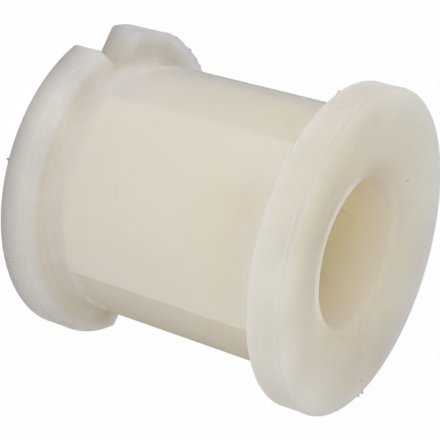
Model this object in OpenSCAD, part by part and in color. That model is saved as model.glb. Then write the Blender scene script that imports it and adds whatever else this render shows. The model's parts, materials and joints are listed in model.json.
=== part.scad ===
// Sway bar bushing: a one-piece moulded spool that the bar turns in.
// It stands on its notched flange, with the axis along +Z and the two notches towards -Y and +Y.

/* [Body] */
// Length from end to end
length = 54.6; // [44:0.1:70]
// Diameter of the round body between the flanges
body_d = 45.6; // [42:0.1:49]
// Radius of the fillet between the body and each flange
fillet_r = 1.6; // [0.8:0.1:2.5]

/* [Flanges] */
// Diameter of both flanges
flange_d = 56; // [54:0.1:64]
// Thickness of each flange
flange_t = 5.8; // [4:0.1:9]
// Radius of the small rounding on the edges of the rims
edge_r = 0.4; // [0.2:0.1:1]

/* [Bore] */
// Diameter of the bore that the bar turns in
bore_d = 25.4; // [20:0.1:32]
// Radius of the rounded mouth at each end of the bore
mouth_r = 1.4; // [0.8:0.1:2.5]
// Width of the flat ring that each end stands on, inside the rounded edge
land_w = 2.4; // [1.5:0.1:4]
// How far the end face has rolled in from that ring by the wall of the bore
face_drop = 1.2; // [0.5:0.1:2]

/* [Notches] */
// Angle between the two walls of a notch
notch_angle = 90; // [60:5:110]
// Width of a notch at its floor, on the body
notch_floor_w = 0.8; // [0.4:0.1:4]
// Radius of the rounded corners where a notch meets the rim
notch_corner_r = 0.8; // [0.4:0.1:2]

/* [Hidden] */
$fn = 128;

body_r = body_d / 2;
flange_r = flange_d / 2;
bore_r = bore_d / 2;
spare = 1; // overshoot of a cut past the face that it opens
lap = 0.0002; // laps the short arc over the long one, so that they meet in a single edge

// End face: a long arc leaves the flat ring level, and a short arc turns from it into the bore
land_r = flange_r - edge_r - land_w;
roll_w = land_r - bore_r;
roll_r = (roll_w * roll_w + face_drop * face_drop) / (2 * face_drop);
mouth_x = bore_r + mouth_r;
mouth_z = roll_r - sqrt(pow(roll_r - mouth_r, 2) - pow(land_r - mouth_x, 2));
blend_x = land_r - (land_r - mouth_x) * roll_r / (roll_r - mouth_r);

// A notch: its walls run down to a point inside the body, and the body's surface is its floor
wall_angle = notch_angle / 2;
notch_point = sqrt(pow(body_r, 2) - pow(notch_floor_w / 2, 2)) - notch_floor_w / 2 / tan(wall_angle);
notch_top = flange_r + spare;
notch_top_w = 2 * (notch_top - notch_point) * tan(wall_angle);
// Centre of the corner arc, which leaves a wall smoothly and crosses the rim at a slight angle
run_out = 12; // that angle, which keeps the arc from only touching the rim
corner_shift = notch_corner_r / cos(wall_angle) - notch_point * tan(wall_angle);
corner_reach = norm([flange_r - notch_corner_r * cos(run_out), notch_corner_r * sin(run_out)]);
corner_root = sqrt(pow(corner_reach, 2) - pow(corner_shift * cos(wall_angle), 2));
corner_y = cos(wall_angle) * (corner_root - corner_shift * sin(wall_angle));
corner_x = corner_y * tan(wall_angle) + corner_shift;

// Puts a shape at the lower end and its mirror image at the upper end
module both_ends() {
    children();
    translate([0, length]) mirror([0, 1]) children();
}

// Section of one flange, with rounded rim edges
module flange_section() {
    translate([bore_r, 0]) square([flange_r - edge_r - bore_r, flange_t]);
    translate([bore_r, edge_r]) square([flange_r - bore_r, flange_t - 2 * edge_r]);
    for (z = [edge_r, flange_t - edge_r])
        translate([flange_r - edge_r, z]) circle(r = edge_r);
}

// Section of the fillet between the body and a flange
module fillet_section() {
    difference() {
        translate([body_r, flange_t]) square(fillet_r);
        translate([body_r + fillet_r, flange_t + fillet_r]) circle(r = fillet_r);
    }
}

// What is taken off an end so that its face rolls in to the bore
module roll_in_section() {
    difference() {
        translate([bore_r - spare, -spare]) square([roll_w + spare, mouth_z + spare]);
        intersection() {
            translate([land_r, roll_r]) circle(r = roll_r);
            translate([blend_x, 0]) square([land_r - blend_x, mouth_z]);
        }
        translate([mouth_x, mouth_z]) circle(r = mouth_r + lap);
    }
}

// Half section of the whole spool
module spool_section() {
    difference() {
        union() {
            translate([bore_r, 0]) square([body_r - bore_r, length]);
            both_ends() flange_section();
            both_ends() fillet_section();
        }
        both_ends() roll_in_section();
    }
}

// Outline of a notch, with its point towards the axis and +Y outwards
module notch_outline() {
    difference() {
        polygon([[0, notch_point], [notch_top_w / 2, notch_top], [-notch_top_w / 2, notch_top]]);
        circle(r = body_r);
    }
    for (side = [0, 1]) mirror([side, 0]) notch_corner();
}

// Waste between a wall of a notch, the rim and the arc that rounds their corner
module notch_corner() {
    corner = [corner_x, corner_y];
    on_wall = corner + notch_corner_r * [-cos(wall_angle), sin(wall_angle)];
    past_rim = corner * notch_top / corner_reach;
    difference() {
        polygon([corner, past_rim, [0, notch_top], on_wall]);
        translate(corner) circle(r = notch_corner_r);
    }
}

module bushing() {
    color([0.87, 0.84, 0.78])
    difference() {
        rotate_extrude() spool_section();
        for (turn = [0, 180])
            rotate([0, 0, turn])
            translate([0, 0, -spare])
            linear_extrude(height = spare + flange_t + fillet_r)
            notch_outline();
    }
}

bushing();
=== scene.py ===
import json
import math
import bpy
import numpy as np
from mathutils import Matrix, Vector


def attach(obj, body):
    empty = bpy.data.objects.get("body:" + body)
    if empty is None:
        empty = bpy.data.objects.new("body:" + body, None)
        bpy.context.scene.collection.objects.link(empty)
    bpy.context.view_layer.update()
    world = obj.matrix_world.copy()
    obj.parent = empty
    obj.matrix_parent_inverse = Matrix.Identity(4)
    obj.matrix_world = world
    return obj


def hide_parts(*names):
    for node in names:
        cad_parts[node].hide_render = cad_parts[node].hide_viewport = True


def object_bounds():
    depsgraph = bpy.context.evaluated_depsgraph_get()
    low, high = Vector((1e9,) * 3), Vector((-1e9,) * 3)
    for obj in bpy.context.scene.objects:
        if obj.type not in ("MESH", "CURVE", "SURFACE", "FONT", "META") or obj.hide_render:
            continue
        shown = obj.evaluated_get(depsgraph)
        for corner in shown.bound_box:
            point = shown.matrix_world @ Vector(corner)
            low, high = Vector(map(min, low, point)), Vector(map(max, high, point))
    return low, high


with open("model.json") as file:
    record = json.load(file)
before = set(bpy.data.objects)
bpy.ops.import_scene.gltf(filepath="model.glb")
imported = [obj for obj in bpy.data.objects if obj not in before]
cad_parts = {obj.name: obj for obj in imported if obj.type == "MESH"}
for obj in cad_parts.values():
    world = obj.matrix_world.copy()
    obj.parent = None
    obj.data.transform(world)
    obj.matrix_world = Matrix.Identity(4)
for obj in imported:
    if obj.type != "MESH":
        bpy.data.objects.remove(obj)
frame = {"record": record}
cadLow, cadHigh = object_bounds()
mounts = {m["name"]: m for m in frame["record"]["mounts"]}
boreR = mounts["bore"]["dims"]["r_mm"]
bodyR = mounts["body_seat"]["dims"]["r_mm"]
bodyWall = mounts["body_seat"]["dims"]["length_mm"]
print("frame loaded, box %.1f x %.1f x %.1f mm" % tuple((cadHigh - cadLow) * 1000))

# moulded spool, in mm unless a note says otherwise; angles run from the notch at -Y towards +X
spool = {
    "rimR": cadHigh.x * 1000 - 0.1,  # flash stands out from here to the full radius
    "topZ": cadHigh.z * 1000 - 0.2,  # and from here to the full length
    "filletR": 1.6,
    "bodyR": bodyR - 0.15,
    "edges": {"base": (0.4, 1.0), "top": (0.7, 0.5)},  # rounding of a rim at its end face and at the body's side
    "mouthR": 1.4,  # rounding into the bore
    "landW": 2.8,  # level ring of each face, with the rounded edge
    "faceDrop": 1.2,  # how far a face rolls in by the bore's wall
    "notchAngle": 91,  # degrees between a notch's walls
    "notchFloor": 0.75,  # width of a notch on the body
    "notchBlend": 1.1,  # softness of the corners at its floor
    "notchCorner": 0.6,  # softness of the corners at the rim
    "notchFront": 1.1,  # rounding of the walls' edges at the body's side
    "notchEnd": 0.3,  # and at the end face
    "notchSpan": 20,  # degrees from a notch's middle, where its walls are past the rim
    "notchFade": 0.3,  # share of the flange's width over which its side levels out into a notch
    "foldR": 20,  # the notched end face is drawn in from this radius outwards
    "rimSink": 0.08,  # how far the middle of a rim has sunk
    "points": {"mouth": 13, "roll": 15, "land": 7, "edge": 8, "rim": 11, "back": 8, "fillet": 17, "straight": 8},
    "columns": {  # steps round the axis, and how far the finer ones reach to each side, in degrees
        "plain": 1.5, "notch": 0.4, "notchHalf": 13, "ragged": 0.3, "spike": 0.12, "spikeHalf": 0.72, "least": 0.07,
    },
    "seed": 7,
}

# flash left at the mould's joints, in mm; angles in degrees, and directions as (r, z)
flash = {
    "seamHeight": 0.0025,
    "seamWidth": 0.16,
    "seamInset": 0.55,  # from the outer end of the plain flange, and from the body's side of the notched one
    "seamRows": (-0.05, 0, 0.06, 0.12, 0.18, 0.26),  # more rows of points beside the seam
    "seamBreaks": {"level": 0.45, "swing": 0.8, "waves": (20, 130, 7), "fade": 0.2},
    "spikes": [
        {"angle": 0.3, "edge": "topInnerEdge", "size": 0.55, "lean": (0.15, -1.0), "width": 0.35},
        {"angle": 1.9, "edge": "topInnerEdge", "size": 0.22, "lean": (0.1, -1.0), "width": 0.35},
        {"angle": -178.4, "edge": "topOuterEdge", "size": 0.55, "lean": (0.7, 0.7), "width": 0.40},
        {"angle": 179.0, "edge": "topOuterEdge", "size": 0.45, "lean": (0.8, 0.5), "width": 0.40},
        {"angle": 61.2, "edge": "baseOuterEdge", "size": 0.60, "lean": (1.0, -0.2), "width": 0.40},
        {"angle": 131.7, "edge": "baseInnerEdge", "size": 0.55, "lean": (1.0, 0.2), "width": 0.35},
        {"angle": 11.3, "edge": "baseInnerEdge", "size": 0.55, "lean": (1.0, 0.3), "width": 0.35},
    ],
    "spikeSpan": (0.1, 0.9),  # part of a half wave that a spike has across its edge
    "ragged": {  # torn edge of the notched flange, at the body's side
        "from": -66, "to": -28, "taper": 3,  # degrees
        "height": 0.55, "lift": 0.8,  # lift is the share of the height that goes along the axis
        "level": 0.35, "swing": 0.65, "waves": (60, 420, 11), "fade": 0.1, "span": (0.15, 0.95),
    },
}


def linePoints(start, end, count):
    t = np.linspace(0, 1, count)[:, None]
    return (1 - t) * np.array(start, float) + t * np.array(end, float)


def arcPoints(centre, radius, startDeg, endDeg, count):
    a = np.radians(np.linspace(startDeg, endDeg, count))
    return np.stack([centre[0] + radius * np.cos(a), centre[1] + radius * np.sin(a)], 1)


def faceShape():
    # level ring, long arc, then a short arc into the bore
    landR = spool["rimR"] - spool["landW"]
    rollW = landR - boreR
    rollR = (rollW ** 2 + spool["faceDrop"] ** 2) / (2 * spool["faceDrop"])
    mouthX = boreR + spool["mouthR"]
    mouthZ = rollR - math.sqrt((rollR - spool["mouthR"]) ** 2 - (landR - mouthX) ** 2)
    blendDeg = math.degrees(math.atan2(landR - mouthX, rollR - mouthZ))
    return landR, rollR, mouthX, mouthZ, blendDeg


def faceHeight(radius):
    landR, rollR = faceShape()[:2]
    return rollR - np.sqrt(rollR ** 2 - np.clip(landR - radius, 0, None) ** 2)


def halfSection(end):
    # from the bore's wall, round one flange, to the body's wall; z is 0 at the end
    landR, rollR, mouthX, mouthZ, blendDeg = faceShape()
    rimR, filletR, wallR = spool["rimR"], spool["filletR"], spool["bodyR"]
    outerR, innerR = spool["edges"][end]
    flangeT = (cadHigh.z * 1000 - bodyWall) / 2 - filletR
    count, seam, beside = spool["points"], flash["seamInset"], np.array(flash["seamRows"])
    rimZ = np.concatenate([np.linspace(outerR, flangeT - innerR, count["rim"]), seam + beside, flangeT - seam - beside])
    rimZ = np.unique(np.round(rimZ, 3))
    rimZ = rimZ[(rimZ >= outerR) & (rimZ <= flangeT - innerR)]
    parts = [
        ("Mouth", arcPoints((mouthX, mouthZ), spool["mouthR"], 180, 270 - blendDeg, count["mouth"])),
        ("Face", arcPoints((landR, rollR), rollR, 270 - blendDeg, 270, count["roll"])[1:]),
        ("Face", linePoints((landR, 0), (rimR - outerR, 0), count["land"])[1:]),
        ("OuterEdge", arcPoints((rimR - outerR, outerR), outerR, 270, 360, count["edge"])[1:]),
        ("Rim", np.stack([np.full(len(rimZ) - 1, rimR), rimZ[1:]], 1)),
        ("InnerEdge", arcPoints((rimR - innerR, flangeT - innerR), innerR, 0, 90, count["edge"])[1:]),
        ("Back", linePoints((rimR - innerR, flangeT), (wallR + filletR, flangeT), count["back"])[1:]),
        ("Fillet", arcPoints((wallR + filletR, flangeT + filletR), filletR, 270, 180, count["fillet"])[1:]),
    ]
    names = [end + name for name, points in parts for _ in points]
    return np.concatenate([points for _, points in parts]), names, flangeT


def wholeSection():
    base, baseNames, flangeT = halfSection("base")
    top, topNames, _ = halfSection("top")
    top = top[::-1] * np.array([1, -1]) + np.array([0, spool["topZ"]])
    count = spool["points"]["straight"]
    wall = linePoints(base[-1], top[0], count)[1:-1]
    bore = linePoints(top[-1], base[0], count)[1:-1]
    names = baseNames + ["wall"] * len(wall) + topNames[::-1] + ["bore"] * len(bore)
    return np.concatenate([base, wall, top, bore]), np.array(names), flangeT


def fineSteps(middle, half, step):
    return middle + np.arange(-half, half + step / 4, step)


def columnAngles():
    # even steps, with more columns at the notches, the ragged edge and each spike
    steps, ragged = spool["columns"], flash["ragged"]
    sets = [np.arange(-180, 180, steps["plain"]), np.arange(ragged["from"], ragged["to"], steps["ragged"])]
    sets += [fineSteps(middle, steps["notchHalf"], steps["notch"]) for middle in (0, 180)]
    sets += [fineSteps(spike["angle"], steps["spikeHalf"], steps["spike"]) for spike in flash["spikes"]]
    angles = np.sort((np.concatenate(sets) + 180) % 360 - 180)
    kept = [angles[0]]
    for a in angles[1:]:
        if a - kept[-1] > steps["least"]:
            kept.append(a)
    return np.array(kept)


def softMin(a, b, width):
    h = np.clip(width - np.abs(a - b), 0, None) / width
    return np.minimum(a, b) - h * h * width / 4


def notchReach(angles, apart=0.0):
    # how far out the notched flange comes at each angle; apart moves the walls away from the middle
    tanWall = math.tan(math.radians(spool["notchAngle"] / 2))
    half = spool["notchFloor"] / 2
    point = math.sqrt(spool["bodyR"] ** 2 - half ** 2) - half / tanWall
    point -= apart / math.sin(math.radians(spool["notchAngle"] / 2))
    away = np.abs((angles + 90) % 180 - 90)  # two notches, opposite each other
    a = np.radians(np.minimum(away, spool["notchSpan"]))
    wall = point * tanWall / (np.cos(a) * tanWall - np.sin(a))
    floor = -softMin(-wall, np.full_like(wall, -spool["bodyR"]), spool["notchBlend"])
    return softMin(floor, np.full_like(wall, spool["rimR"]), spool["notchCorner"])


def flangeShare(angles, apart=0.0):
    # how much of the notched flange's width is left at each angle
    return np.clip((notchReach(angles, apart) - spool["bodyR"]) / (spool["rimR"] - spool["bodyR"]), 0, 1)


def wallsApart(height, flangeT):
    # how far a notch's walls stand back where their edges are rounded
    total = 0.0
    for size, inside in ((spool["notchFront"], flangeT - height), (spool["notchEnd"], height)):
        near = np.clip(1 - inside / size, 0, 1)
        total += size * (1 - math.sqrt(1 - near ** 2))
    return total


def wave(angles, rng, counts, fade):
    # smooth closed noise round the axis, from -1 to 1
    least, turn = 0.4, 6.28  # weakest share of one ripple, and its largest shift in radians
    total = np.zeros_like(angles)
    for k in counts:
        total += rng.uniform(least, 1) * k ** -fade * np.sin(np.radians(angles) * k + rng.uniform(0, turn))
    return total / np.abs(total).max()


def cutNotches(r, z, section, names, angles, flangeT):
    # the notched flange is drawn in to its reach
    wallR, rimR, foldR = spool["bodyR"], spool["rimR"], spool["foldR"]
    outerR, innerR = spool["edges"]["base"]
    endReach = notchReach(angles, spool["notchEnd"])
    frontShare = flangeShare(angles, spool["notchFront"])
    level = np.clip(frontShare / spool["notchFade"], 0, 1)
    level = level * level * (3 - 2 * level)
    for i in range(len(section)):
        if names[i] == "baseFace" and section[i, 0] > foldR:
            r[i] = foldR + (r[i] - foldR) * (endReach - outerR - foldR) / (rimR - outerR - foldR)
            z[i] = faceHeight(r[i])
        elif names[i] in ("baseOuterEdge", "baseRim"):
            r[i] += notchReach(angles, wallsApart(section[i, 1], flangeT)) - rimR
    inner = np.flatnonzero(np.isin(names, ["baseInnerEdge", "baseBack", "baseFillet"]))
    flat = np.linspace(flangeT - innerR, flangeT + spool["filletR"], len(inner) + 1)[1:]
    for i, height in zip(inner, flat):
        share = frontShare
        if names[i] == "baseInnerEdge":
            share = flangeShare(angles, wallsApart(section[i, 1], flangeT))
        r[i] = wallR + (r[i] - wallR) * share
        z[i] = height * (1 - level) + z[i] * level


def sinkRims(r, section, names, angles, flangeT, rng):
    # sunk rims, and flash ridges along them
    breaks = flash["seamBreaks"]
    for end in ("base", "top"):
        atBase = end == "base"
        rim = np.isin(names, [end + "Rim", end + "OuterEdge", end + "InnerEdge"])
        depth = section[:, 1] if atBase else spool["topZ"] - section[:, 1]
        left = flangeShare(angles) if atBase else np.ones_like(angles)
        mid = np.clip(1 - ((depth - flangeT / 2) / (flangeT / 2)) ** 2, 0, 1)
        r -= (spool["rimSink"] * mid * rim)[:, None] * left
        seam = flangeT - flash["seamInset"] if atBase else flash["seamInset"]
        ridge = np.exp(-((depth - seam) / (flash["seamWidth"] / 2)) ** 2) * rim
        ripple = wave(angles, rng, range(*breaks["waves"]), breaks["fade"])
        broken = np.clip(breaks["level"] + breaks["swing"] * ripple, 0, 1)
        r += flash["seamHeight"] * ridge[:, None] * broken * left


def addBurrs(r, z, names, angles, rng):
    # the ragged edge, then single spikes
    ragged = flash["ragged"]
    inside = np.clip(np.minimum(angles - ragged["from"], ragged["to"] - angles) / ragged["taper"], 0, 1)
    ripple = np.abs(wave(angles, rng, range(*ragged["waves"]), ragged["fade"]))
    tooth = (ragged["level"] + ragged["swing"] * ripple) * inside
    rows = np.flatnonzero(names == "baseInnerEdge")
    bump = np.sin(np.linspace(*ragged["span"], len(rows)) * math.pi)
    push = ragged["height"] * bump[:, None] * tooth
    r[rows] += push
    z[rows] += push * ragged["lift"]
    for spike in flash["spikes"]:
        rows = np.flatnonzero(names == spike["edge"])
        away = (angles - spike["angle"] + 180) % 360 - 180
        across = np.exp(-(away / spike["width"]) ** 2)
        along = np.sin(np.linspace(*flash["spikeSpan"], len(rows)) * math.pi) ** 2
        push = spike["size"] * along[:, None] * across
        r[rows] += push * spike["lean"][0]
        z[rows] += push * spike["lean"][1]


def spoolMesh():
    # a closed net of points: rows go round the section, columns round the axis
    rng = np.random.default_rng(spool["seed"])
    section, names, flangeT = wholeSection()
    angles = columnAngles()
    rows, cols = len(section), len(angles)
    r = np.repeat(section[:, :1], cols, 1)
    z = np.repeat(section[:, 1:], cols, 1)
    cutNotches(r, z, section, names, angles, flangeT)
    sinkRims(r, section, names, angles, flangeT, rng)
    addBurrs(r, z, names, angles, rng)

    a = np.radians(angles)
    limit = cadHigh.x * 1000  # nothing goes past the solid's box
    x, y = np.clip(r * np.sin(a), -limit, limit), np.clip(-r * np.cos(a), -limit, limit)
    z = np.clip(z, cadLow.z * 1000, cadHigh.z * 1000)
    verts = np.stack([x, y, z], -1).reshape(-1, 3) / 1000

    i, j = np.meshgrid(np.arange(rows), np.arange(cols), indexing="ij")
    nextI, nextJ = (i + 1) % rows, (j + 1) % cols
    quads = [i * cols + j, i * cols + nextJ, nextI * cols + nextJ, nextI * cols + j]
    quads = np.stack(quads, -1).reshape(-1, 4)
    mesh = bpy.data.meshes.new("bushingSkin")
    mesh.from_pydata(verts.tolist(), [], quads.tolist())
    mesh.polygons.foreach_set("use_smooth", [True] * len(quads))
    mesh.update()
    print("spool meshed: %d rows, %d columns, %d triangles" % (rows, cols, 2 * len(quads)))
    return mesh


skin = bpy.data.objects.new("bushingSkin", spoolMesh())
bpy.context.scene.collection.objects.link(skin)

# nylon: colours are linear, and some hold painted light and shade, as their notes say; lengths are in metres, and in
# the dull spot as in the list of painted light and shade
nylon = {
    "boreColour": (0.850, 0.715, 0.535),
    "boreDeep": (1.000, 0.768, 0.480),  # well inside the bore: yellower nylon, made paler with painted light where little light reaches
    "lipColour": (0.812, 0.697, 0.525),
    "faceColour": (0.822, 0.730, 0.588),
    "rimColour": (0.738, 0.692, 0.640),
    "rimPlain": (0.785, 0.700, 0.580),  # rim of the plain flange
    "bodyColour": (0.832, 0.742, 0.603),
    "bodyDeep": (0.835, 0.742, 0.565),  # by the plain flange
    # paler in the fillets: painted light against the shade of these corners
    "filletColour": (0.925, 0.840, 0.710),
    "bodyRough": 0.09,
    "faceRough": 0.6,
    "mouthRough": 0.28,  # on the side of the bore's mouth that is worn smooth
    "rimRough": 0.36,  # on the notched flange's rim, towards its end
    "scatter": 0.045,
    "scatterTint": (1.0, 0.97, 0.93),
    "bodySheen": 1.0,
    "sheenIor": 1.6,
    "dullSpot": {"at": (158, 23, 6.8), "core": 3, "reach": 8},  # without sheen, by the notch at +Y
    "dullLevel": 0.2,  # how strongly the dull surfaces mirror the studio
    "ior": 1.56,
    "clouds": 0.0175,  # uneven tone, as a share of the colour
    "cloudScale": 70,
    "mottle": 0.0175,  # finer, and only on the flanges and in the bore
    "mottleScale": 620,
    "peel": 0.00002,  # height of the ripple on the body
    "peelScale": 160,
    "grain": 0.00003,  # height of the grain on the flanges
    "grainScale": 1400,
    "streaks": 0.03,  # change of roughness along the body
    "streakScale": 900,
    "streakStretch": (1, 1, 0.04),
    "blur": 0.08,  # change of roughness on the flanges
    "blurScale": 350,
    "edgeRough": 0.95,  # along the rims' edges and the far side of the bore's mouth
    "frontTone": -0.09,  # painted shade on the plain flange's outer edge, which dims the light this edge catches
    "innerTone": -0.11,  # painted shade along the notched flange's edge at the body's side, which dims its light line
    "rootTint": (0.975, 0.962, 0.940),  # painted shade on the flanges beside the fillets
}

# where the zones of the skin lie, in mm: a zone goes from nothing at the first value to full at the second
zones = {
    "radius": {
        "outside": (16, 20), "lip": (12.8, 14.8), "face": (14.8, 21), "rim": (24.0, 27.2),
        "fillet": (25.2, 23.6), "root": (26.4, 24.4), "mouth": (16.8, 14.2),
        "lipStart": (12.6, 13.2), "lipEnd": (16, 14),
    },
    "fromRim": {"edge": (-1.2, -0.3), "front": (-0.55, -0.15), "low": (-1.0, -0.3)},  # radius less the rim's
    "height": {"along": (18, 46), "plainRim": (20, 40), "notched": (40, 20), "low": (4.4, 2.6)},
    "fromTop": {"deep": (-3, -12), "lip": (-6, -1.2), "front": (-0.55, -0.15)},
    "fromFoot": {"glossy": (0.1, 3.0)},  # height above the lower end of the body's straight wall
    "fromHead": {"glossy": (1.2, -1.0)},  # and above its upper end
    "pastWall": {  # past the straight wall, at either end
        "body": (1.6, -0.4), "fillet": (2.4, 1.0), "filletStart": (-5.5, 0.2), "root": (0.5, 1.3), "edge": (3.4, 2.0),
    },
    "fromEnd": {"edge": (-1.2, -0.4)},  # from the end faces, inwards
    "x": {"lip": (2, -6), "mouth": (-1, 5)},
    "y": {"mouth": (11, 4)},
}

# soft patches of painted light and painted shade, paler where light falls and darker where shade lies:
# the middle as angle in degrees, radius and height in mm, then how far the full tint and its fading reach, in mm
paintedLightAndShade = [
    {"at": (178, 28, 54), "core": 3, "reach": 19, "tint": (0.755, 0.728, 0.715)},  # painted shade low on the plain flange
    {"at": (-168, 28, 54.5), "core": 1, "reach": 8, "tint": (0.82, 0.80, 0.77)},
    {"at": (-150, 27, 54), "core": 2, "reach": 12, "tint": (0.775, 0.775, 0.80)},
    {"at": (-114, 26, 54), "core": 2, "reach": 12, "tint": (0.82, 0.835, 0.88)},
    {"at": (0, 27.5, 51), "core": 2, "reach": 10, "tint": (0.88, 0.87, 0.87)},  # painted shade on the top of its rim
    {"at": (10, 14.4, 53.5), "core": 0, "reach": 8, "tint": (1.08, 1.07, 1.05)},  # painted light round the bore's mouth
    {"at": (45, 14.0, 53.5), "core": 0, "reach": 8, "tint": (1.14, 1.10, 1.02)},
    {"at": (80, 14.0, 53.5), "core": 0, "reach": 8, "tint": (1.14, 1.10, 1.02)},
    {"at": (115, 14.0, 53.5), "core": 0, "reach": 8, "tint": (1.12, 1.09, 1.02)},
    {"at": (32, 22.7, 42), "core": 1, "reach": 9, "tint": (1.06, 1.06, 1.14)},  # painted light on the body by the plain flange
    {"at": (15, 22.6, 12), "core": 2, "reach": 10, "tint": (1.04, 1.03, 1.12)},
    {"at": (148, 27, 5.8), "core": 4, "reach": 14, "tint": (0.93, 0.915, 0.85)},  # painted shade low on the notched flange
    {"at": (167, 26, 5.6), "core": 2, "reach": 9, "tint": (0.65, 0.60, 0.49)},
    {"at": (-9, 26.5, 4.5), "core": 2, "reach": 8, "tint": (0.80, 0.81, 0.88)},  # painted shade beside the notch
    {"at": (-38, 27.8, 5.0), "core": 3, "reach": 10, "tint": (0.84, 0.855, 0.905)},
    {"at": (38, 28, 0.8), "core": 2, "reach": 9, "tint": (1.28, 1.28, 1.26)},
    {"at": (88, 28, 3.0), "core": 3, "reach": 13, "tint": (0.95, 0.96, 0.97)},
    {"at": (35, 24, 54), "core": 4, "reach": 20, "tint": (0.96, 0.94, 0.90)},  # painted shade on the face's upper part
    {"at": (45, 25.6, 54.4), "core": 1, "reach": 7, "tint": (1.07, 1.07, 1.06)},  # painted light on its edge on this side
    {"at": (75, 25.6, 54.4), "core": 1, "reach": 7, "tint": (1.10, 1.09, 1.08)},
    {"at": (105, 25.6, 54.4), "core": 1, "reach": 7, "tint": (1.10, 1.09, 1.08)},
    {"at": (135, 25.6, 54.4), "core": 1, "reach": 7, "tint": (1.07, 1.06, 1.06)},
    {"at": (152, 22.6, 16), "core": 3, "reach": 12, "tint": (0.95, 0.94, 0.86)},  # painted shade under the body
    {"at": (152, 22.6, 28), "core": 3, "reach": 12, "tint": (0.95, 0.94, 0.86)},
    {"at": (152, 22.6, 40), "core": 3, "reach": 12, "tint": (0.95, 0.94, 0.86)},
    {"at": (28, 26, 6.2), "core": 1, "reach": 7, "tint": (0.88, 0.89, 0.93)},
    {"at": (58, 26, 6.2), "core": 1, "reach": 7, "tint": (0.88, 0.90, 0.94)},
]

# marks of handling and moulding, and painted shadows round the burrs: places as in the list of painted light and shade,
# size or width in mm, and change of tone
marks = {
    "speckCore": 0.3,  # share of a speck's size that has the full tone
    "scuffCore": 0.2,  # and of a scuff's width
    "scuffBreaks": (-1, 0.6),  # part of the noise that breaks a scuff up
    "scuffScale": 1500,
    "specks": [
        {"at": (-65.8, 16.75, 53.85), "size": 0.32, "tone": -0.45},
        {"at": (-179.5, 25.0, 54.4), "size": 0.36, "tone": -0.40},
        {"at": (98.5, 27.9, 1.95), "size": 0.30, "tone": -0.35},
        {"at": (167.0, 12.7, 48.4), "size": 0.40, "tone": -0.12},
        {"at": (-176.5, 18.6, 54.1), "size": 1.10, "tone": 0.04},
        # painted shadow round each burr, from here to the end of the list
        {"at": (-178.4, 27.8, 54.4), "size": 0.45, "tone": -0.30},
        {"at": (179.0, 27.8, 54.4), "size": 0.40, "tone": -0.25},
        {"at": (61.2, 28.1, 0.0), "size": 0.50, "tone": -0.40},
        {"at": (131.7, 28.0, 5.4), "size": 0.40, "tone": -0.25},
        {"at": (11.3, 28.1, 5.3), "size": 0.50, "tone": -0.55},
    ],
    "scuffs": [
        {"from": (-147.3, 13.1, 53.0), "to": (-137.5, 13.5, 53.3), "width": 0.32, "tone": 0.08},
        {"from": (19.8, 27.8, 5.1), "to": (26.0, 27.8, 4.25), "width": 0.50, "tone": 0.12},
        {"from": (59.5, 22.6, 18.3), "to": (64.2, 22.6, 19.3), "width": 0.20, "tone": -0.10},
        {"from": (-175.3, 13.8, 53.4), "to": (-179.9, 15.1, 53.6), "width": 0.30, "tone": -0.13},
        {"from": (128.0, 14.6, 53.5), "to": (158.0, 14.6, 53.5), "width": 0.50, "tone": -0.05},
        {"from": (-91.5, 12.7, 42.4), "to": (-95.0, 12.7, 43.7), "width": 0.50, "tone": -0.14},
        {"from": (-94.8, 12.7, 44.9), "to": (-96.0, 12.7, 45.4), "width": 0.40, "tone": -0.12},
    ],
}


def addNode(tree, kind, inputs=None, **settings):
    # a node with its settings; an input is a plain value or another node's output
    node = tree.nodes.new(kind)
    for name, value in settings.items():
        setattr(node, name, value)
    for key, value in (inputs or {}).items():
        if isinstance(value, bpy.types.NodeSocket):
            tree.links.new(value, node.inputs[key])
        else:
            node.inputs[key].default_value = value
    return node


def smoothStep(tree, value, low, high):
    return addNode(tree, "ShaderNodeMapRange", {"Value": value, "From Min": low, "From Max": high},
                   interpolation_type="SMOOTHSTEP").outputs[0]


def mixColour(tree, share, first, second):
    first = first if isinstance(first, bpy.types.NodeSocket) else (*first, 1)
    second = second if isinstance(second, bpy.types.NodeSocket) else (*second, 1)
    return addNode(tree, "ShaderNodeMix", {0: share, 6: first, 7: second}, data_type="RGBA").outputs[2]


def maths(tree, operation, first, second=0.0):
    return addNode(tree, "ShaderNodeMath", {0: first, 1: second}, operation=operation).outputs[0]


def product(tree, first, *others):
    for share in others:
        first = maths(tree, "MULTIPLY", first, share)
    return first


def vectors(tree, operation, first, second):
    return addNode(tree, "ShaderNodeVectorMath", {0: first, 1: second}, operation=operation).outputs


def ranged(tree, value, low=0.0, high=1.0, start=0.0, end=1.0):
    # goes straight from start to end as the value goes from low to high
    return addNode(tree, "ShaderNodeMapRange", {"Value": value, "From Min": low, "From Max": high,
                                                "To Min": start, "To Max": end}).outputs[0]


def noise(tree, place, scale, detail=2.0, stretch=(1, 1, 1)):
    # noise about zero, from -1 to 1; the plain noise stays mostly between a quarter and three quarters
    grown = addNode(tree, "ShaderNodeMapping", {"Vector": place, "Scale": stretch}).outputs[0]
    raw = addNode(tree, "ShaderNodeTexNoise", {"Vector": grown, "Scale": scale, "Detail": detail}).outputs[0]
    return ranged(tree, raw, 0.25, 0.75, -1, 1)


def spot(angle, radius, height):
    a = math.radians(angle)
    return Vector((radius * math.sin(a), -radius * math.cos(a), height)) / 1000


def nearSpot(tree, place, at, far, near):
    # 1 within near of a spot and 0 past far, in mm; with near the larger, the other way round
    away = vectors(tree, "DISTANCE", place, spot(*at))["Value"]
    return smoothStep(tree, away, far / 1000, near / 1000)


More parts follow.
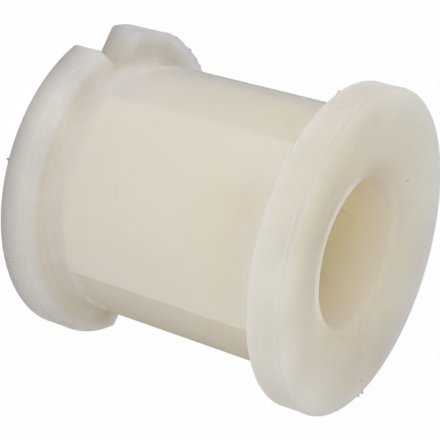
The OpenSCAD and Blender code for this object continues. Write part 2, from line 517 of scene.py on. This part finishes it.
def scuffMask(tree, place, scuff):
    # distance from the line between the scuff's ends
    start, run = spot(*scuff["from"]), spot(*scuff["to"]) - spot(*scuff["from"])
    offset = vectors(tree, "SUBTRACT", place, start)[0]
    share = ranged(tree, vectors(tree, "DOT_PRODUCT", offset, run)["Value"], 0, run.length_squared)
    along = addNode(tree, "ShaderNodeVectorMath", {0: run, "Scale": share}, operation="SCALE").outputs[0]
    away = vectors(tree, "DISTANCE", offset, along)["Value"]
    width = scuff["width"] / 1000
    return smoothStep(tree, away, width, width * marks["scuffCore"])


def shaded(tree, colour, share, tint):
    change = addNode(tree, "ShaderNodeVectorMath", {0: share, 1: [t - 1 for t in tint], 2: (1, 1, 1)},
                     operation="MULTIPLY_ADD").outputs[0]
    return vectors(tree, "MULTIPLY", colour, change)[0]


def zoneMasks(tree, place):
    # share of each zone at a point of the skin, from 0 to 1
    x, y, z = addNode(tree, "ShaderNodeSeparateXYZ", {0: place}).outputs
    flat = addNode(tree, "ShaderNodeCombineXYZ", {"X": x, "Y": y}).outputs[0]
    radius = addNode(tree, "ShaderNodeVectorMath", {0: flat}, operation="LENGTH").outputs["Value"]
    middle, halfWall = spool["topZ"] / 2, bodyWall / 2
    away = maths(tree, "ABSOLUTE", maths(tree, "SUBTRACT", z, middle / 1000))
    measures = {  # what is measured, and where it counts from in mm
        "radius": (radius, 0), "fromRim": (radius, spool["rimR"]), "x": (x, 0), "y": (y, 0), "height": (z, 0),
        "fromTop": (z, spool["topZ"]), "fromFoot": (z, middle - halfWall), "fromHead": (z, middle + halfWall),
        "pastWall": (away, halfWall), "fromEnd": (away, middle),
    }

    def zone(measure, name):
        value, start = measures[measure]
        low, high = zones[measure][name]
        return smoothStep(tree, value, (start + low) / 1000, (start + high) / 1000)

    outside, nearRim, innerSide = zone("radius", "outside"), zone("fromRim", "edge"), zone("pastWall", "edge")
    sheen = nearSpot(tree, place, nylon["dullSpot"]["at"], nylon["dullSpot"]["core"], nylon["dullSpot"]["reach"])
    eitherSide = maths(tree, "MAXIMUM", zone("fromEnd", "edge"), innerSide)
    farLip = product(tree, zone("radius", "lipStart"), zone("radius", "lipEnd"), zone("x", "lip"))
    body = product(tree, zone("pastWall", "body"), outside)
    return {
        "body": body,
        "offBody": maths(tree, "SUBTRACT", 1.0, body),
        "along": zone("height", "along"),
        "glossy": product(tree, zone("fromFoot", "glossy"), zone("fromHead", "glossy"), outside, sheen),
        "fillet": product(tree, zone("pastWall", "fillet"), zone("pastWall", "filletStart"), outside,
                          zone("radius", "fillet")),
        "root": product(tree, zone("radius", "root"), zone("pastWall", "root"), outside),
        "deep": zone("fromTop", "deep"),
        "lip": maths(tree, "MAXIMUM", zone("radius", "lip"), zone("fromTop", "lip")),
        "mouth": product(tree, zone("radius", "mouth"), zone("x", "mouth"), zone("y", "mouth")),
        "face": zone("radius", "face"),
        "rim": zone("radius", "rim"),
        "plainRim": zone("height", "plainRim"),
        "lowRim": product(tree, zone("fromRim", "low"), zone("height", "low")),
        "innerEdge": product(tree, nearRim, innerSide, zone("height", "notched")),
        "frontEdge": product(tree, zone("fromRim", "front"), zone("fromTop", "front")),
        "edges": maths(tree, "MAXIMUM", product(tree, nearRim, eitherSide), farLip),
    }


def nylonColour(tree, place, mask):
    # from the bore outwards, then the painted shade beside the fillets, then the tinted patches of painted light and
    # shade
    colour = mixColour(tree, mask["deep"], nylon["boreColour"], nylon["boreDeep"])
    rim = mixColour(tree, mask["plainRim"], nylon["rimColour"], nylon["rimPlain"])
    body = mixColour(tree, mask["along"], nylon["bodyColour"], nylon["bodyDeep"])
    layers = {"lip": nylon["lipColour"], "face": nylon["faceColour"], "rim": rim, "body": body,
              "fillet": nylon["filletColour"]}
    for name, layer in layers.items():
        colour = mixColour(tree, mask[name], colour, layer)
    # painted shade in the corners beside the fillets
    colour = shaded(tree, colour, mask["root"], nylon["rootTint"])
    for patch in paintedLightAndShade:
        share = nearSpot(tree, place, patch["at"], patch["reach"], patch["core"])
        colour = shaded(tree, colour, share, patch["tint"])
    return colour


def nylonTone(tree, place, mask):
    # clouds, mottling, painted shade on the rims' edges, specks, painted shadows round the burrs, and scuffs; 1 leaves
    # the colour as it is
    broken = ranged(tree, noise(tree, place, marks["scuffScale"], 2), *marks["scuffBreaks"])
    tones = [
        (noise(tree, place, nylon["cloudScale"], 3), nylon["clouds"]),
        (product(tree, noise(tree, place, nylon["mottleScale"], 3), mask["offBody"]), nylon["mottle"]),
        (mask["innerEdge"], nylon["innerTone"]),
        (mask["frontEdge"], nylon["frontTone"]),
    ]
    for speck in marks["specks"]:
        size = speck["size"]
        tones.append((nearSpot(tree, place, speck["at"], size, size * marks["speckCore"]), speck["tone"]))
    for scuff in marks["scuffs"]:
        tones.append((product(tree, scuffMask(tree, place, scuff), broken), scuff["tone"]))
    total = 1.0
    for share, tone in tones:
        total = maths(tree, "ADD", maths(tree, "MULTIPLY", share, tone), total)
    return total


def nylonRoughness(tree, place, mask):
    # the body is glossy with faint lengthwise streaks, the rest is dull
    streaks = noise(tree, place, nylon["streakScale"], 2, nylon["streakStretch"])
    bodyRough = maths(tree, "ADD", maths(tree, "MULTIPLY", streaks, nylon["streaks"]), nylon["bodyRough"])
    blur = maths(tree, "MULTIPLY", noise(tree, place, nylon["blurScale"], 3), nylon["blur"])
    rough = maths(tree, "ADD", blur, nylon["faceRough"])
    layers = {"lowRim": nylon["rimRough"], "mouth": nylon["mouthRough"], "edges": nylon["edgeRough"],
              "glossy": bodyRough}
    for name, layer in layers.items():
        rough = ranged(tree, mask[name], start=rough, end=layer)
    return rough


def nylonBump(tree, place, mask):
    # a faint ripple on the body and grain on the rest
    peel = product(tree, noise(tree, place, nylon["peelScale"], 1), nylon["peel"], mask["body"])
    grain = product(tree, noise(tree, place, nylon["grainScale"], 3), nylon["grain"], mask["offBody"])
    height = maths(tree, "ADD", peel, grain)
    return addNode(tree, "ShaderNodeBump", {"Height": height, "Distance": 1.0, "Strength": 1.0}).outputs[0]


def nylonMaterial():
    mat = bpy.data.materials.new("mouldedNylon")
    mat.use_nodes = True
    tree = mat.node_tree
    shader = tree.nodes["Principled BSDF"]
    fixed = {
        "IOR": nylon["ior"],
        "Specular IOR Level": nylon["dullLevel"],
        "Coat Roughness": nylon["bodyRough"],
        "Coat IOR": nylon["sheenIor"],
        "Subsurface Weight": 1,
        "Subsurface Scale": nylon["scatter"],
        "Subsurface Radius": nylon["scatterTint"],
    }
    for name, value in fixed.items():
        shader.inputs[name].default_value = value
    place = addNode(tree, "ShaderNodeTexCoord").outputs["Object"]
    mask = zoneMasks(tree, place)
    toned = addNode(tree, "ShaderNodeVectorMath", {0: nylonColour(tree, place, mask),
                                                   "Scale": nylonTone(tree, place, mask)}, operation="SCALE")
    bump = nylonBump(tree, place, mask)
    tree.links.new(toned.outputs[0], shader.inputs["Base Color"])
    tree.links.new(nylonRoughness(tree, place, mask), shader.inputs["Roughness"])
    tree.links.new(maths(tree, "MULTIPLY", mask["glossy"], nylon["bodySheen"]), shader.inputs["Coat Weight"])
    tree.links.new(bump, shader.inputs["Normal"])
    tree.links.new(bump, shader.inputs["Coat Normal"])
    return mat


skin.data.materials.append(nylonMaterial())
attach(skin, "root")
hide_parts("bushing")
print("nylon set")

# studio: sizes in metres, light in watts
studio = {
    "floorSize": 3.0,
    "floorWhite": 0.97,  # share of the floor that shows as plain white; the rest shows the object's shadow
    "floorGlow": 0.15,  # light that the floor gives off, so that the object isn't dark below
    "floorColour": (0.85, 0.85, 0.85),
    "worldLevel": 0.0,  # light from the world on the object
    "lampSize": 0.45,
    "lampAway": 0.8,
    "lamps": [  # turned from the notch towards +X and raised, both in degrees
        {"name": "keyLamp", "turn": 45, "raise": 12, "power": 2.45},
        {"name": "notchLamp", "turn": 0, "raise": 45, "power": 1.76},
        {"name": "sideLamp", "turn": 120, "raise": 45, "power": 1.9},
        {"name": "lowLamp", "turn": 90, "raise": 12, "power": 0.44},
        {"name": "rearLamp", "turn": 225, "raise": 12, "power": 1.37},
        {"name": "crossLamp", "turn": 315, "raise": 12, "power": 1.13},
        {"name": "topLamp", "turn": 0, "raise": 88, "power": 0.39},
    ],
    "cards": {  # sheets of painted shade on the floor beside the view, which only the body's gloss mirrors, as a painted reflection of the shade under and beside the body; corners in mm
        "underCard": {
            "level": (0.430, 0.393, 0.325),
            "corners": [(26, 17), (80, 162), (-160, 162), (-160, 31), (0, 31), (15, 25.5), (21, 21.2)],
        },
        "notchCard": {
            "level": (0.46, 0.46, 0.46),
            "corners": [(5, -32), (-12, -30), (-24, -20), (-31, -5), (-31, 10), (-220, 10), (-220, -160), (-40, -160)],
        },
    },
    "cardHeight": 0.0002,
}


def seenDirectly(tree):
    # 1 for what the camera sees, also in a mirror or through glass
    path = addNode(tree, "ShaderNodeLightPath").outputs
    mirrored = maths(tree, "MAXIMUM", path["Is Glossy Ray"], path["Is Transmission Ray"])
    return maths(tree, "MAXIMUM", path["Is Camera Ray"], mirrored)


def stageMaterial(name, addShader):
    # addShader puts the nodes in and gives back the last one
    mat = bpy.data.materials.new(name)
    mat.use_nodes = True
    tree = mat.node_tree
    tree.nodes.remove(tree.nodes["Principled BSDF"])
    tree.links.new(addShader(tree).outputs[0], tree.nodes["Material Output"].inputs["Surface"])
    return mat


def floorShader(tree):
    paper = addNode(tree, "ShaderNodeBsdfDiffuse", {"Color": (*studio["floorColour"], 1)})
    glow = addNode(tree, "ShaderNodeEmission", {"Strength": studio["floorGlow"]})
    white = addNode(tree, "ShaderNodeEmission")
    both = addNode(tree, "ShaderNodeAddShader", {0: paper.outputs[0], 1: glow.outputs[0]})
    share = maths(tree, "MULTIPLY", seenDirectly(tree), studio["floorWhite"])
    return addNode(tree, "ShaderNodeMixShader", {0: share, 1: both.outputs[0], 2: white.outputs[0]})


def flatPiece(name, corners, height, mat):
    mesh = bpy.data.meshes.new(name)
    mesh.from_pydata([(x, y, height) for x, y in corners], [], [list(range(len(corners)))])
    mesh.materials.append(mat)
    obj = bpy.data.objects.new(name, mesh)
    bpy.context.scene.collection.objects.link(obj)
    return obj


half = studio["floorSize"] / 2
floorCorners = [(-half, -half), (half, -half), (half, half), (-half, half)]
floor = flatPiece("floor", floorCorners, 0, stageMaterial("paleFloor", floorShader))

# sheets of painted shade, hidden from the camera, from diffuse light and from shadows; the body's gloss mirrors them
for name, sheet in studio["cards"].items():
    def shadeSheetShader(tree):
        return addNode(tree, "ShaderNodeEmission", {"Color": (*sheet["level"], 1)})

    corners = [(x / 1000, y / 1000) for x, y in sheet["corners"]]
    obj = flatPiece(name, corners, studio["cardHeight"], stageMaterial(name, shadeSheetShader))
    obj.visible_camera = obj.visible_diffuse = obj.visible_shadow = obj.visible_transmission = False

centre = (cadLow + cadHigh) / 2
for lamp in studio["lamps"]:
    turn, lift = math.radians(lamp["turn"]), math.radians(lamp["raise"])
    aim = Vector((math.sin(turn) * math.cos(lift), -math.cos(turn) * math.cos(lift), math.sin(lift)))
    data = bpy.data.lights.new(lamp["name"], "AREA")
    data.size = studio["lampSize"]
    data.energy = lamp["power"]
    obj = bpy.data.objects.new(lamp["name"], data)
    obj.location = centre + aim * studio["lampAway"]
    obj.rotation_mode = "QUATERNION"
    obj.rotation_quaternion = aim.to_track_quat("Z", "Y")
    bpy.context.scene.collection.objects.link(obj)

world = bpy.data.worlds.new("studioLight")
bpy.context.scene.world = world
world.use_nodes = True
tree = world.node_tree
sky = tree.nodes["Background"]
sky.inputs["Color"].default_value = (1, 1, 1, 1)
level = ranged(tree, seenDirectly(tree), start=studio["worldLevel"])
tree.links.new(level, sky.inputs["Strength"])
print("studio lit")

# camera at the photo's angle: place in units of about a flange's radius, along the row's own axes
view = {
    "place": (6.8658, -4.3372, 5.5000),
    "right": (-0.5497, 0.0108, 0.8353),
    "up": (-0.3982, -0.8823, -0.2508),
    "unit": 27.82,  # mm
    "focalPixels": 1497.3,
    "imagePixels": 440,
    "sensor": 36,  # mm
    "clip": (0.01, 10),  # nearest and farthest that is drawn, in metres
}
camera = bpy.data.cameras.new("photoCamera")
camera.sensor_width = view["sensor"]
camera.lens = camera.sensor_width * view["focalPixels"] / view["imagePixels"]
camera.clip_start, camera.clip_end = view["clip"]
eye = bpy.data.objects.new("photoCamera", camera)
right, up = Vector(view["right"]).normalized(), Vector(view["up"]).normalized()
axes = Matrix((right, up, right.cross(up))).transposed()
eye.matrix_world = Matrix.Translation(Vector(view["place"]) * view["unit"] / 1000) @ axes.to_4x4()
bpy.context.scene.collection.objects.link(eye)
bpy.context.scene.camera = eye
bpy.context.scene.view_settings.view_transform = "Standard"
print("camera set")
